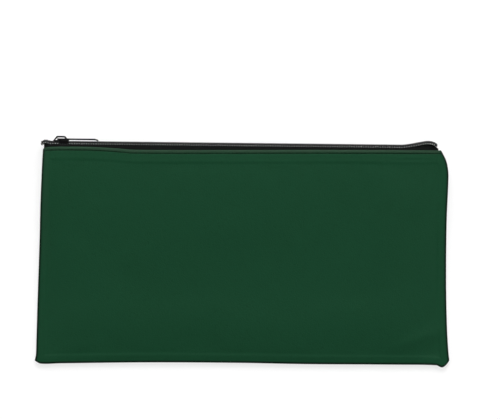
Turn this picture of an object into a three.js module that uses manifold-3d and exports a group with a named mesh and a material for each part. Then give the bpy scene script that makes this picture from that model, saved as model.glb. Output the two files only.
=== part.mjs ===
// A cash deposit bag: a flat faux-leather pouch of two panels, with a coil zip along its top edge.
// It lies on its back panel. +X runs along the zip, +Y from the bottom seam up to the zip, and +Z out of
// the front panel. Lengths are in millimetres.

import * as THREE from 'three';
import * as BufferGeometryUtils from 'three/addons/utils/BufferGeometryUtils.js';
import Module from 'manifold-3d';

const wasm = await Module();
wasm.setup();

// Faux leather and sewing
const SHEET = 0.65;                 // thickness of one layer of faux leather
const ALLOWANCE = 5.5;              // width of the seam allowances, turned inside
const HEM = 8;                      // depth of the hem folded under along the zip
const JOINT_GAP = 0.35;             // half the room for the seam threads between the turned allowances
const THREAD = 0.2;                 // thickness of a thread run
const THREAD_WIDTH = 0.5;
const THREAD_GAP = 0.1;
const STITCH_BELOW_FOLD = 2.2;      // topstitching, below the folded edge
const GROOVE_WIDTH = 0.8;           // the topstitching pulls a groove into the leather
const GROOVE_DEPTH = 0.35;
const SEAM_INSET = 0.9;             // seam threads, in from the edge

// Outline of the flat pouch: [position along the edge, offset], from corner to corner
const LEFT_EDGE = [[-70.9, -134.95], [-67, -134.15], [-58, -133.85], [-32, -133.05], [7, -131.6], [33, -130.85],
  [59, -129.65], [66.8, -129.1]];
const RIGHT_EDGE = [[-70.9, 134.95], [-66, 134.4], [-51, 133.5], [-20, 132.8], [20, 133], [46, 134], [53, 133.85],
  [59.5, 132.4], [65.8, 129.2]];
const BOTTOM_EDGE = [[-134.95, -70.9], [-131.2, -72.9], [-118, -72.7], [-60, -72.1], [0, -72.45], [40, -73.2],
  [100, -73.6], [126.6, -74], [129.2, -75.2], [131, -75.2], [133.2, -73.4], [134.95, -70.9]];
const FOLD_EDGE = [[-129.1, 66.8], [-126.5, 67.9], [-100, 68], [-84, 67.2], [-68, 66.05], [60, 66], [129.2, 65.8]];

// Thickness of the pouch
const LOFT = 6.9;                   // outside thickness of the empty pouch below the zip
const EDGE_ROLL = 38;               // distance over which the front panel rises from a seam
const RISE_FROM = -48;              // height at which the pouch starts to thicken towards the zip
const RISE_TO = 60;                 // height from which the hems stand parallel to the tapes

// Zip: a size 5 coil zip with its coils facing outwards
const COIL_HEIGHT = 2.1;
const COIL_INNER = 0.75;            // from the middle of the chain: room for the slider's post
const COIL_OUTER = 3.05;
const COIL_WALL = 0.4;
const COIL_GROOVE = 0.3;            // depth of the channel that the coil stitching lies in
const TAPE = 0.45;
const TAPE_INNER = 0.8;
const TAPE_GAP = 0.1;
const TAPE_BEND = 4.55;             // inner face of the tape's leg, which clears the slider's side
const TAPE_BEND_AT_SEAM = 0.35;     // the legs close up where the side seams catch them
const TAPE_BOTTOM = 57.5;
const HEM_GAP = 0.15;
const HALF_HEM_STACK = TAPE_BEND + TAPE + HEM_GAP + 2 * SHEET;
const CHAIN_Z = HALF_HEM_STACK;     // the back hem then lies on the table

// Run of the chain: the middle of the coil, straight where the slider runs
const SLOPE = -0.0111;
const SLIDER_X = -117.5;
const SLIDER_Y = 70.7;
const STRAIGHT_FROM = -123.4;
const STRAIGHT_TO = 104.5;
const LEFT_END = [[-130.7, 69], [-129.9, 70.15], [-128.7, 71.2], [-127.2, 71.5], [-125.4, 71.1]];
const RIGHT_END = [[110.5, 69.05], [116.5, 70.15], [121, 70.7], [124.6, 69.95], [126.4, 68.5], [127.4, 67.65]];
const SEAM_LEFT = -129;
const SEAM_RIGHT = 128.4;
const SPREAD_TO = 86.5;             // the slider's rear end stops before this
const HEM_EASE = [1.2, 5];

// Slider
const SLIDER_LENGTH = 10.4;
const SLIDER_HALF = 4.25;
const SLIDER_REAR_HALF = 3.95;
const PLATE = 0.6;
const PLATE_GAP = 0.15;
const FLANGE = 0.95;
const FLANGE_LENGTH = 6.3;
const POST = 1;
const CROWN_TOP = 4.5;              // above the middle of the chain
const CROWN_STRAP = 0.75;
const CROWN_WIDTH = 2.2;

// Pull tab
const PULL_PIVOT = [-2.1, 2.4];     // along and above the middle of the chain, from the slider's middle
const PULL_THICKNESS = 0.8;
const PULL_LENGTH = 26.3;           // from the pivot to the turned-down tip
const PULL_TURN = 1.9;              // length of the turned-down tip
const PULL_DROP = 0.75;
const PULL_WIDTH = 5.2;
const PULL_SLOT_WIDTH = 2.8;
const PULL_SLOT_END = 7.4;

const leather = new THREE.MeshStandardMaterial({ color: 0x1b4330, roughness: 0.55, metalness: 0 });
const thread = new THREE.MeshStandardMaterial({ color: 0x16382a, roughness: 0.8, metalness: 0 });
const tapeCloth = new THREE.MeshStandardMaterial({ color: 0x161818, roughness: 0.9, metalness: 0 });
const nylon = new THREE.MeshStandardMaterial({ color: 0x101111, roughness: 0.35, metalness: 0 });
const enamel = new THREE.MeshStandardMaterial({ color: 0x0c0d0d, roughness: 0.3, metalness: 0.6 });

const mix = THREE.MathUtils.lerp;

function smooth(t) {
  return THREE.MathUtils.smoothstep(t, 0, 1);
}

// A smooth function through points [t, value], level with its neighbours at each point.
function through(points) {
  const slope = (i) => {
    const a = points[Math.max(i - 1, 0)];
    const b = points[Math.min(i + 1, points.length - 1)];
    return (b[1] - a[1]) / (b[0] - a[0]);
  };
  return (t) => {
    const at = THREE.MathUtils.clamp(t, points[0][0], points.at(-1)[0]);
    const i = Math.max(points.findIndex((p) => p[0] >= at), 1);
    const [t0, v0] = points[i - 1];
    const [t1, v1] = points[i];
    const step = t1 - t0;
    const s = (at - t0) / step;
    return v0 * (1 + 2 * s) * (1 - s) ** 2 + v1 * s * s * (3 - 2 * s)
      + step * (slope(i - 1) * s * (1 - s) ** 2 - slope(i) * s * s * (1 - s));
  };
}

const leftX = through(LEFT_EDGE);
const rightX = through(RIGHT_EDGE);
const bottomY = through(BOTTOM_EDGE);
const foldY = through(FOLD_EDGE);
const straightY = (x) => SLIDER_Y + SLOPE * (x - SLIDER_X);
const chainY = through([...LEFT_END, [STRAIGHT_FROM, straightY(STRAIGHT_FROM)],
  [STRAIGHT_FROM + 1, straightY(STRAIGHT_FROM + 1)], [STRAIGHT_TO - 1, straightY(STRAIGHT_TO - 1)],
  [STRAIGHT_TO, straightY(STRAIGHT_TO)], ...RIGHT_END]);

// Inner face of the tape's leg, from the middle of the chain: spread along the slider's run, and closed up
// where the side seams catch the zip's ends. The hems close up a little later than the tapes, by ease.
function legAt(x, [easeLeft, easeRight] = [0, 0]) {
  const left = (x - SEAM_LEFT + easeLeft) / (STRAIGHT_FROM - SEAM_LEFT);
  const right = (SEAM_RIGHT + easeRight - x) / (SEAM_RIGHT - SPREAD_TO);
  return mix(TAPE_BEND_AT_SEAM, TAPE_BEND, THREE.MathUtils.clamp(Math.min(left, right), 0, 1));
}

// Height of the mid-plane between the panels along a side seam.
function seamZ(y) {
  return mix(2 * SHEET + JOINT_GAP, CHAIN_Z, smooth((y - RISE_FROM) / (RISE_TO - RISE_FROM)));
}

// Outer faces of the pouch: front (side 1) or back (side -1).
function outerZ(side, x, y) {
  const sides = Math.min(x - leftX(y), rightX(y) - x);
  const roll = [sides, y - bottomY(x)].map((d) => Math.sin(Math.PI / 2 * Math.min(d / EDGE_ROLL, 1)));
  const seam = 2 * (2 * SHEET + JOINT_GAP);
  const low = side > 0 ? mix(seam, LOFT, roll[0] * roll[1]) : 0;
  const stack = legAt(x, HEM_EASE) + HALF_HEM_STACK - TAPE_BEND;
  return mix(low, CHAIN_Z + side * stack, smooth((y - RISE_FROM) / (RISE_TO - RISE_FROM)));
}

// A closed solid from loops of [x, y, z] points, each loop a station along it. All loops of one ring have the
// same number of points. A second ring makes a hole from end to end.
function sweep(rings) {
  const positions = [];
  const indices = [];
  const starts = rings.map((loops) => {
    const start = positions.length / 3;
    loops.forEach((loop) => loop.forEach((p) => positions.push(...p)));
    return start;
  });
  rings.forEach((loops, ring) => {
    const n = loops[0].length;
    for (let i = 0; i + 1 < loops.length; i += 1) {
      for (let j = 0; j < n; j += 1) {
        const a = starts[ring] + i * n + j;
        const b = starts[ring] + i * n + (j + 1) % n;
        indices.push(a, b, b + n, a, b + n, a + n);
      }
    }
  });
  [0, rings[0].length - 1].forEach((station) => {
    const flat = rings.map((loops) => loops[station].map((p) => new THREE.Vector2(p[2], p[1])));
    const ids = rings.flatMap((loops, ring) => loops[station].map((p, j) => (
      starts[ring] + station * loops[0].length + j)));
    const turned = THREE.ShapeUtils.isClockWise(flat[0]) === (station === 0);
    THREE.ShapeUtils.triangulateShape(flat[0], flat.slice(1)).forEach((t) => {
      const [a, b, c] = t.map((k) => ids[k]);
      indices.push(...(turned ? [a, b, c] : [a, c, b]));
    });
  });
  const geometry = new THREE.BufferGeometry();
  geometry.setAttribute('position', new THREE.Float32BufferAttribute(positions, 3));
  geometry.setIndex(indices);
  return outward(geometry);
}

// The same geometry with its faces turned outwards.
function outward(geometry) {
  const p = geometry.attributes.position;
  const index = geometry.index.array;
  const [a, b, c] = [0, 1, 2].map(() => new THREE.Vector3());
  let volume = 0;
  for (let i = 0; i < index.length; i += 3) {
    a.fromBufferAttribute(p, index[i]);
    b.fromBufferAttribute(p, index[i + 1]);
    c.fromBufferAttribute(p, index[i + 2]);
    volume += a.dot(b.cross(c));
  }
  if (volume < 0) {
    geometry.setIndex(Array.from(index).reverse());
  }
  geometry.computeVertexNormals();
  return geometry;
}

function solid(geometry) {
  const bare = geometry.clone();
  bare.deleteAttribute('normal');
  bare.deleteAttribute('uv');
  const merged = BufferGeometryUtils.mergeVertices(bare, 1e-4);
  return new wasm.Manifold(new wasm.Mesh({
    numProp: 3,
    vertProperties: Float32Array.from(merged.attributes.position.array),
    triVerts: Uint32Array.from(merged.index.array),
  }));
}

function geometryOf(manifold) {
  const mesh = manifold.getMesh();
  const geometry = new THREE.BufferGeometry();
  geometry.setAttribute('position', new THREE.BufferAttribute(Float32Array.from(mesh.vertProperties), 3));
  geometry.setIndex(Array.from(mesh.triVerts));
  geometry.computeVertexNormals();
  return geometry;
}

// Positions of grid lines: given distances in from each end, and even steps between them.
function gridLines(fromStart, steps, fromEnd) {
  const lines = fromStart.map((d) => [d, 0]);
  for (let i = 1; i < steps; i += 1) {
    lines.push([mix(fromStart.at(-1), -fromEnd[0], i / steps), i / steps]);
  }
  return [...lines, ...fromEnd.map((d) => [-d, 1])];
}

const EDGE_LINES = [0, ALLOWANCE, ALLOWANCE + 0.4, 10, 15, 25, EDGE_ROLL];
const GROOVE_SIDE = 0.15;
const GROOVE_LINES = [GROOVE_WIDTH / 2 + GROOVE_SIDE, GROOVE_WIDTH / 2].flatMap((d) => [d, -d])
  .map((d) => STITCH_BELOW_FOLD + d).sort((a, b) => b - a);
const COLUMNS = gridLines(EDGE_LINES, 12, [...EDGE_LINES].reverse());
const ROWS = gridLines(EDGE_LINES, 7, [15, 11, HEM + 0.4, HEM, ...GROOVE_LINES, 0]);

// Where a column meets a row on the flat pouch. Each is [distance from its end, share of the way across].
function place([column, across], [row, up]) {
  let x = mix(leftX(0), rightX(0), across) + column;
  let y = 0;
  for (let pass = 0; pass < 4; pass += 1) {
    y = mix(bottomY(x), foldY(x), up) + row;
    x = mix(leftX(y), rightX(y), across) + column;
  }
  return [x, y];
}

// One panel of faux leather: its hem, its seam allowances and the groove of its topstitching are one sheet.
function panel(side) {
  const layer = (inside) => ROWS.map((row) => COLUMNS.map((column) => {
    const [x, y] = place(column, row);
    const fromEdge = Math.min(x - leftX(y), rightX(y) - x, y - bottomY(x));
    const doubled = fromEdge < ALLOWANCE + 0.2 || foldY(x) - y < HEM + 0.2;
    const fromStitch = Math.abs(foldY(x) - y - STITCH_BELOW_FOLD);
    const groove = fromStitch < (GROOVE_WIDTH + GROOVE_SIDE) / 2 ? GROOVE_DEPTH : 0;
    const depth = inside ? SHEET * (doubled ? 2 : 1) : groove;
    return [x, y, outerZ(side, x, y) - side * depth];
  }));
  const grids = [layer(false), layer(true)];
  const width = COLUMNS.length;
  const height = ROWS.length;
  const count = width * height;
  const id = (k, j, i) => k * count + j * width + i;
  const indices = [];
  for (let j = 0; j + 1 < height; j += 1) {
    for (let i = 0; i + 1 < width; i += 1) {
      indices.push(id(0, j, i), id(0, j, i + 1), id(0, j + 1, i + 1));
      indices.push(id(0, j, i), id(0, j + 1, i + 1), id(0, j + 1, i));
      indices.push(id(1, j, i), id(1, j + 1, i + 1), id(1, j, i + 1));
      indices.push(id(1, j, i), id(1, j + 1, i), id(1, j + 1, i + 1));
    }
  }
  const rim = [
    ...COLUMNS.slice(1).map((_, i) => [0, i]),
    ...ROWS.slice(1).map((_, j) => [j, width - 1]),
    ...COLUMNS.slice(1).map((_, i) => [height - 1, width - 1 - i]),
    ...ROWS.slice(1).map((_, j) => [height - 1 - j, 0]),
  ];
  rim.forEach(([j, i], k) => {
    const [nj, ni] = rim[(k + 1) % rim.length];
    indices.push(id(0, j, i), id(1, nj, ni), id(0, nj, ni));
    indices.push(id(0, j, i), id(1, j, i), id(1, nj, ni));
  });
  const geometry = new THREE.BufferGeometry();
  geometry.setAttribute('position', new THREE.Float32BufferAttribute(grids.flat(3), 3));
  geometry.setIndex(indices);
  return outward(geometry);
}

// Places along the zip where its sections stand: close together at the curved ends.
function stations(from, to) {
  const end = 1.1;
  const inner = [...Array(9).keys()].map((i) => mix(STRAIGHT_FROM, SPREAD_TO, i / 8));
  const left = [];
  for (let x = from; x < STRAIGHT_FROM - end / 2; x += end) {
    left.push(x);
  }
  const right = [];
  for (let x = to; x > STRAIGHT_TO + end; x -= 2 * end) {
    right.unshift(x);
  }
  return [...left, ...inner, STRAIGHT_TO, ...right];
}

// Loops of a section, given as [height over the middle of the chain, distance from it], along the zip.
function alongZip(side, from, to, sectionAt) {
  return stations(from, to).map((x) => (
    sectionAt(x).map(([up, out]) => [x, chainY(x) + up, CHAIN_Z + side * out])));
}

function rectangle(low, high, near, far) {
  return [[low, near], [low, far], [high, far], [high, near]];
}

const COIL_FROM = LEFT_END[0][0];
const COIL_TO = RIGHT_END.at(-1)[0];
const COIL_HALF = COIL_HEIGHT / 2;
const CHANNEL = [COIL_INNER + 0.75, COIL_OUTER - 0.75];

function coil(side) {
  const chamfer = 0.35;
  const top = COIL_HALF;
  const outside = [[-top, COIL_INNER], [-top, COIL_OUTER - chamfer], [-top + chamfer, COIL_OUTER],
    [top - chamfer, COIL_OUTER], [top, COIL_OUTER - chamfer], [top, CHANNEL[1]], [top - COIL_GROOVE, CHANNEL[1]],
    [top - COIL_GROOVE, CHANNEL[0]], [top, CHANNEL[0]], [top, COIL_INNER + chamfer], [top - chamfer, COIL_INNER]];
  const hole = rectangle(-top + COIL_WALL, top - COIL_GROOVE - COIL_WALL, COIL_INNER + COIL_WALL,
    COIL_OUTER - COIL_WALL).reverse();
  return sweep([outside, hole].map((section) => alongZip(side, COIL_FROM, COIL_TO, () => section)));
}

function coilCord(side) {
  const wall = COIL_WALL + THREAD_GAP;
  const section = rectangle(-COIL_HALF + wall, COIL_HALF - COIL_GROOVE - wall, COIL_INNER + wall,
    COIL_OUTER - wall);
  return sweep([alongZip(side, COIL_FROM, COIL_TO, () => section)]);
}

function coilStitching(side) {
  const section = rectangle(COIL_HALF - COIL_GROOVE + THREAD_GAP, COIL_HALF, CHANNEL[0] + THREAD_GAP,
    CHANNEL[1] - THREAD_GAP);
  return sweep([alongZip(side, COIL_FROM, COIL_TO, () => section)]);
}

// A tape lies flat under its coil and turns down into the pouch, behind the hem.
function tape(side) {
  const top = -COIL_HALF - TAPE_GAP;
  const low = top - TAPE;
  return sweep([alongZip(side, SEAM_LEFT + 0.4, SEAM_RIGHT - 0.9, (x) => {
    const leg = legAt(x);
    const near = Math.min(TAPE_INNER, leg - 0.25);
    const bottom = TAPE_BOTTOM - chainY(x);
    return [[top, near], [low, near], [low, leg], [bottom, leg], [bottom, leg + TAPE], [top - 0.2, leg + TAPE],
      [top, leg + TAPE - 0.2]];
  })]);
}

// Topstitching along one hem: the needle thread outside it, or the bobbin thread behind the tape.
function topstitch(side, inside) {
  const loops = COLUMNS.slice(1, -1).map((column) => {
    const [x, y] = place(column, [-STITCH_BELOW_FOLD, 1]);
    const face = inside
      ? CHAIN_Z + side * (legAt(x) - THREAD_GAP - THREAD)
      : outerZ(side, x, y) - side * (GROOVE_DEPTH - THREAD_GAP);
    const far = face + side * THREAD;
    return [[-1, face], [1, face], [1, far], [-1, far]].map(([k, z]) => [x, y + k * THREAD_WIDTH / 2, z]);
  });
  return bar(loops);
}

// A seam thread between the turned allowances: the needle thread (side 1) or the bobbin thread (side -1).
function seamThread(side, route, across) {
  return bar(route.map(([x, y]) => {
    const [near, far] = [THREAD_GAP / 2, THREAD_GAP / 2 + THREAD].map((d) => seamZ(y) + side * d);
    const [dx, dy] = across.map((c) => c * THREAD_WIDTH);
    return [[x, y, near], [x + dx, y + dy, near], [x + dx, y + dy, far], [x, y, far]];
  }));
}

// A closed bar through loops of four points that may run in any direction.
function bar(loops) {
  const last = (loops.length - 1) * 4;
  const indices = [0, 1, 2, 0, 2, 3, last, last + 2, last + 1, last, last + 3, last + 2];
  for (let i = 0; i + 1 < loops.length; i += 1) {
    for (let j = 0; j < 4; j += 1) {
      const a = i * 4 + j;
      const b = i * 4 + (j + 1) % 4;
      indices.push(a, b + 4, b, a, a + 4, b + 4);
    }
  }
  const geometry = new THREE.BufferGeometry();
  geometry.setAttribute('position', new THREE.Float32BufferAttribute(loops.flat(2), 3));
  geometry.setIndex(indices);
  return outward(geometry);
}

const SIDE_ROWS = ROWS.slice(2, -1);
const LEFT_ROUTE = SIDE_ROWS.map((row) => place([SEAM_INSET, 0], row));
const RIGHT_ROUTE = SIDE_ROWS.map((row) => place([-SEAM_INSET, 1], row));
const BOTTOM_ROUTE = COLUMNS.slice(1, -1).map((column) => place(column, [SEAM_INSET, 0]));

// A flat plate in the slider's frame: an outline of [along, across] points, from one height to another.
function plate(outline, low, high) {
  const shape = new THREE.Shape(outline.map(([along, across]) => new THREE.Vector2(along, across)));
  const geometry = new THREE.ExtrudeGeometry(shape, { depth: high - low, bevelEnabled: false });
  geometry.rotateX(Math.PI / 2);
  geometry.translate(0, high, 0);
  return solid(geometry);
}

// A strip in the slider's frame: an outline of [along, height] points, as wide as given, centred on the chain.
function strip(outline, width) {
  const shape = new THREE.Shape(outline.map(([along, up]) => new THREE.Vector2(along, up)));
  const geometry = new THREE.ExtrudeGeometry(shape, { depth: width, bevelEnabled: false });
  geometry.translate(0, 0, -width / 2);
  return solid(geometry);
}

function union(solids) {
  return solids.reduce((sum, next) => sum.add(next));
}

function sliderBody() {
  const front = -SLIDER_LENGTH / 2;
  const rear = SLIDER_LENGTH / 2;
  const corner = 1.3;
  const outline = [[front, -SLIDER_HALF + corner], [front + corner, -SLIDER_HALF], [rear - 0.5, -SLIDER_REAR_HALF],
    [rear, -SLIDER_REAR_HALF + 0.5], [rear, SLIDER_REAR_HALF - 0.5], [rear - 0.5, SLIDER_REAR_HALF],
    [front + corner, SLIDER_HALF], [front, SLIDER_HALF - corner]];
  const ceiling = COIL_HALF + PLATE_GAP;
  const floor = -COIL_HALF - TAPE_GAP - TAPE - 0.2;
  const flangeFoot = -COIL_HALF - TAPE_GAP + 0.2;
  const flangeFrom = rear - FLANGE_LENGTH;
  const flange = (side) => {
    const inner = side * (SLIDER_REAR_HALF - FLANGE + 0.2);
    return plate([[flangeFrom, side * (SLIDER_HALF - 0.1)], [rear - 0.3, side * SLIDER_REAR_HALF],
      [rear - 0.3, inner], [flangeFrom, inner]], flangeFoot, ceiling + PLATE / 2);
  };
  const post = plate([[front + 0.4, 0], [front + 1.2, -POST / 2], [front + 2.6, -POST / 2], [front + 3.4, 0],
    [front + 2.6, POST / 2], [front + 1.2, POST / 2]], floor - PLATE / 2, ceiling + PLATE / 2);
  const base = ceiling + PLATE / 2;
  const sill = ceiling + PLATE;
  const under = CROWN_TOP - CROWN_STRAP;
  const crown = strip([[-4.9, base], [-4.8, sill], [-3.1, CROWN_TOP - 0.45], [-2.5, CROWN_TOP], [2.1, CROWN_TOP],
    [2.8, CROWN_TOP - 0.4], [4.8, sill], [4.9, base], [4, base], [3.9, sill], [2.2, under - 0.15], [1.8, under],
    [-2.2, under], [-2.45, under - 0.1], [-3.95, sill], [-4.05, base]], CROWN_WIDTH);
  return geometryOf(union([plate(outline, ceiling, ceiling + PLATE), plate(outline, floor - PLATE, floor),
    flange(1), flange(-1), post, crown]));
}

// The pull tab, about its pivot: a stamped strip with a slot for the slider's crown and a turned-down tip.
function pullTab() {
  const half = PULL_THICKNESS / 2;
  const bend = PULL_LENGTH - PULL_TURN;
  const side = strip([[-half, -half], [bend - 0.25, -half], [PULL_LENGTH - 0.7, -half - PULL_DROP],
    [PULL_LENGTH, -PULL_DROP + 0.25], [bend + 0.25, half], [-half, half]], PULL_WIDTH);
  const hw = PULL_WIDTH / 2;
  const ring = 1.6;
  const plan = plate([[-half, -hw + ring], [-half + ring * 0.35, -hw + ring * 0.35], [ring - half, -hw],
    [PULL_SLOT_END + 1, -hw], [PULL_SLOT_END + 3, -hw + 0.4], [bend - 2, -hw], [PULL_LENGTH - 1, -hw + 0.1],
    [PULL_LENGTH + 1, -hw + 1], [PULL_LENGTH + 1, hw - 1], [PULL_LENGTH - 1, hw - 0.1], [bend - 2, hw],
    [PULL_SLOT_END + 3, hw - 0.4], [PULL_SLOT_END + 1, hw], [ring - half, hw],
    [-half + ring * 0.35, hw - ring * 0.35], [-half, hw - ring]], -4, 4);
  const sw = PULL_SLOT_WIDTH / 2;
  const slot = plate([[half, -sw], [PULL_SLOT_END - 0.5, -sw], [PULL_SLOT_END, -sw + 0.5], [PULL_SLOT_END, sw - 0.5],
    [PULL_SLOT_END - 0.5, sw], [half, sw]], -4, 4);
  return geometryOf(side.intersect(plan).subtract(slot));
}

function named(name, geometry, material) {
  const mesh = new THREE.Mesh(geometry, material);
  mesh.name = name;
  return mesh;
}

const bag = new THREE.Group();
[['front', 1], ['back', -1]].forEach(([where, side]) => {
  bag.add(named(`${where}_panel`, panel(side), leather));
  bag.add(named(`${where}_zip_tape`, tape(side), tapeCloth));
  bag.add(named(`${where}_coil`, coil(side), nylon));
  bag.add(named(`${where}_coil_cord`, coilCord(side), tapeCloth));
  bag.add(named(`${where}_coil_stitching`, coilStitching(side), tapeCloth));
  bag.add(named(`${where}_topstitch_needle_thread`, topstitch(side, false), thread));
  bag.add(named(`${where}_topstitch_bobbin_thread`, topstitch(side, true), thread));
});
[['needle', 1], ['bobbin', -1]].forEach(([which, side]) => {
  bag.add(named(`left_seam_${which}_thread`, seamThread(side, LEFT_ROUTE, [1, 0]), thread));
  bag.add(named(`right_seam_${which}_thread`, seamThread(side, RIGHT_ROUTE, [-1, 0]), thread));
  bag.add(named(`bottom_seam_${which}_thread`, seamThread(side, BOTTOM_ROUTE, [0, 1]), thread));
});

const slider = new THREE.Group();
slider.position.set(SLIDER_X, SLIDER_Y, CHAIN_Z);
slider.rotation.z = Math.atan(SLOPE);
slider.add(named('slider_body', sliderBody(), enamel));
const pull = named('pull_tab', pullTab(), enamel);
pull.position.set(...PULL_PIVOT, 0);
slider.add(pull);
bag.add(slider);

export default bag;
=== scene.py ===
"""A cash deposit bag lying on its back: faux leather panels, a size 5 coil zip, its slider and its pull tab.

Lengths are in millimetres until a mesh is made; the studio and the camera are in metres. X runs along the
zip, Y up to it and Z out of the front.
"""

import math

import bmesh
import bpy
import numpy as np
from mathutils import Matrix, Vector


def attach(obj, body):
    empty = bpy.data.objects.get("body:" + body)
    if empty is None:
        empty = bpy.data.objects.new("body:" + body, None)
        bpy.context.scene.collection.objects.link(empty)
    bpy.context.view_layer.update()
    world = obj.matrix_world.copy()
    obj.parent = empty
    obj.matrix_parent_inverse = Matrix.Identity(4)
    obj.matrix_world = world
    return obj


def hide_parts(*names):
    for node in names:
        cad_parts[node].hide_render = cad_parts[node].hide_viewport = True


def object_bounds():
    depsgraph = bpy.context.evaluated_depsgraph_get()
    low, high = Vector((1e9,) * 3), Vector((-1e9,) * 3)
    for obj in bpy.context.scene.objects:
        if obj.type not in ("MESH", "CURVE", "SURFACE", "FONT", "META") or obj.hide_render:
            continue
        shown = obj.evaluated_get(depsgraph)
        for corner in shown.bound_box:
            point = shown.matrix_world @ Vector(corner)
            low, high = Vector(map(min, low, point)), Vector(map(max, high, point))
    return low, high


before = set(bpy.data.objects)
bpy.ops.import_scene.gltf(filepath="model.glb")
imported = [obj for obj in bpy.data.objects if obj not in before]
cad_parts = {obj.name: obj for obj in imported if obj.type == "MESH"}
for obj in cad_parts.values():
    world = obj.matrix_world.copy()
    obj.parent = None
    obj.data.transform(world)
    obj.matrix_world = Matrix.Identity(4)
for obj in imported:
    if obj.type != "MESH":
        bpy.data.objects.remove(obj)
cad_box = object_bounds()

MM = 0.001
TURN = 2 * math.pi
SIDES = {1: "front", -1: "back"}

# Faux leather and sewing
SHEET = 0.62                # one layer, a little less than the CAD layer so that folded layers lie clear
ALLOWANCE = 5.5             # width of the seam allowances, turned inside
HEM = 8.0                   # depth of the hem folded under along the zip
STITCH_BELOW_FOLD = 2.2     # topstitching, below the folded edge
STITCHES = 99               # along each hem
THREAD_RADIUS = 0.2
SEAM_STITCH = 3.2           # length of a seam's stitch
SEAM_INSET = 1.0            # seam threads, in from the edge
SEAM_THREAD_RADIUS = 0.13

# Outline of the flat pouch: (position along the edge, offset), from corner to corner
LEFT_EDGE = [(-70.9, -134.95), (-67, -134.15), (-58, -133.85), (-32, -133.05), (7, -131.6), (33, -130.85),
             (59, -129.65), (66.8, -129.1)]
RIGHT_EDGE = [(-70.9, 134.95), (-66, 134.4), (-51, 133.5), (-20, 132.8), (20, 133), (46, 134), (53, 133.85),
              (59.5, 132.4), (65.8, 129.2)]
BOTTOM_EDGE = [(-134.95, -70.9), (-131.2, -72.9), (-118, -72.7), (-60, -72.1), (0, -72.45), (40, -73.2),
               (100, -73.6), (126.6, -74), (129.2, -75.2), (131, -75.2), (133.2, -73.4), (134.95, -70.9)]
FOLD_EDGE = [(-129.1, 66.8), (-126.5, 67.9), (-100, 68), (-84, 67.2), (-68, 66.05), (60, 66), (129.2, 65.8)]

# Thickness of the pouch
SEAM_THICKNESS = 3.3
SEAM_MIDDLE = SEAM_THICKNESS / 2
LOFT = 6.9                  # outside thickness of the empty pouch below the zip
EDGE_ROLL = 38.0            # distance over which the front panel rises from a seam
RISE_FROM = -48.0           # height at which the pouch starts to thicken towards the zip
RISE_TO = 60.0              # height from which the hems stand parallel to the tapes
RIDGE = 0.35                # how far the doubled edges stand out
SEAM_RIDGE = (4.7, 1.9)     # where a seam's ridge starts to fall off, and over what distance
HEM_RIDGE = (7.2, 2.2)

# Zip
CHAIN_Z = 6.45              # height of the plane between the two coils
SLOPE = -0.0111             # of the straight part of the chain
SLIDER_X = -117.5
SLIDER_Y = 70.7
STRAIGHT_FROM = -123.4
STRAIGHT_TO = 104.5
LEFT_END = [(-130.7, 69), (-129.9, 70.15), (-128.7, 71.2), (-127.2, 71.5), (-125.4, 71.1)]
RIGHT_END = [(110.5, 69.05), (116.5, 70.15), (121, 70.7), (124.6, 69.95), (126.4, 68.5), (127.4, 67.65)]
SEAM_LEFT = -129.0
SEAM_RIGHT = 128.4
SPREAD_TO = 86.5            # the legs of the tapes stand fully apart as far as here
HEM_EASE = (1.2, 5.0)       # the hems close up this much later than the tapes, left and right
TAPE_BEND = 4.55            # inner face of a tape's leg
TAPE_BEND_AT_SEAM = 0.35    # where the side seams catch it
TAPE = 0.45                 # thickness
TAPE_TOP = -0.72            # height of the flat part's upper face over the middle of the chain
TAPE_INNER = 0.64           # edge of the flat part, from the middle of the chain
TAPE_ROUND = 0.55           # radius of the bend
TAPE_BOTTOM = 57.5
COIL_PITCH = 1.55
COIL_HALF = 1.05            # half the height of a loop
COIL_OUTER = 3.05           # back of a loop, from the middle of the chain
FILAMENT = 0.31             # radius of the nylon filament
HEAD_PAST_MIDDLE = 0.55     # how far a loop's head reaches past the middle, between those of the other coil
OPENING = 1.0               # how far each coil stands off the middle in front of the slider
CHAIN_SPACING = 0.05        # of the points that the chain is looked up by


def mix(a, b, t):
    return a + (b - a) * t


def smooth(t):
    t = np.clip(t, 0, 1)
    return t * t * (3 - 2 * t)


def through(points):
    """A smooth function through points (t, value), level with its neighbours at each point."""
    t, value = np.array(points, float).T
    before = np.maximum(np.arange(len(t)) - 1, 0)
    after = np.minimum(np.arange(len(t)) + 1, len(t) - 1)
    slope = (value[after] - value[before]) / (t[after] - t[before])

    def at(x):
        x = np.clip(x, t[0], t[-1])
        i = np.clip(np.searchsorted(t, x), 1, len(t) - 1)
        step = t[i] - t[i - 1]
        s = (x - t[i - 1]) / step
        return (value[i - 1] * (1 + 2 * s) * (1 - s) ** 2 + value[i] * s * s * (3 - 2 * s)
                + step * (slope[i - 1] * s * (1 - s) ** 2 - slope[i] * s * s * (1 - s)))
    return at


def straight_y(x):
    return SLIDER_Y + SLOPE * (x - SLIDER_X)


left_x = through(LEFT_EDGE)
right_x = through(RIGHT_EDGE)
bottom_y = through(BOTTOM_EDGE)
fold_y = through(FOLD_EDGE)
STRAIGHT = [(x, straight_y(x)) for x in (STRAIGHT_FROM, STRAIGHT_FROM + 1, STRAIGHT_TO - 1, STRAIGHT_TO)]
chain_y = through([*LEFT_END, *STRAIGHT, *RIGHT_END])


def leg_at(x, ease=(0, 0)):
    """Inner face of the tape's leg, from the middle of the chain."""
    left = (x - SEAM_LEFT + ease[0]) / (STRAIGHT_FROM - SEAM_LEFT)
    right = (SEAM_RIGHT + ease[1] - x) / (SEAM_RIGHT - SPREAD_TO)
    return mix(TAPE_BEND_AT_SEAM, TAPE_BEND, np.clip(np.minimum(left, right), 0, 1))


def rise(y):
    return smooth((y - RISE_FROM) / (RISE_TO - RISE_FROM))


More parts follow.
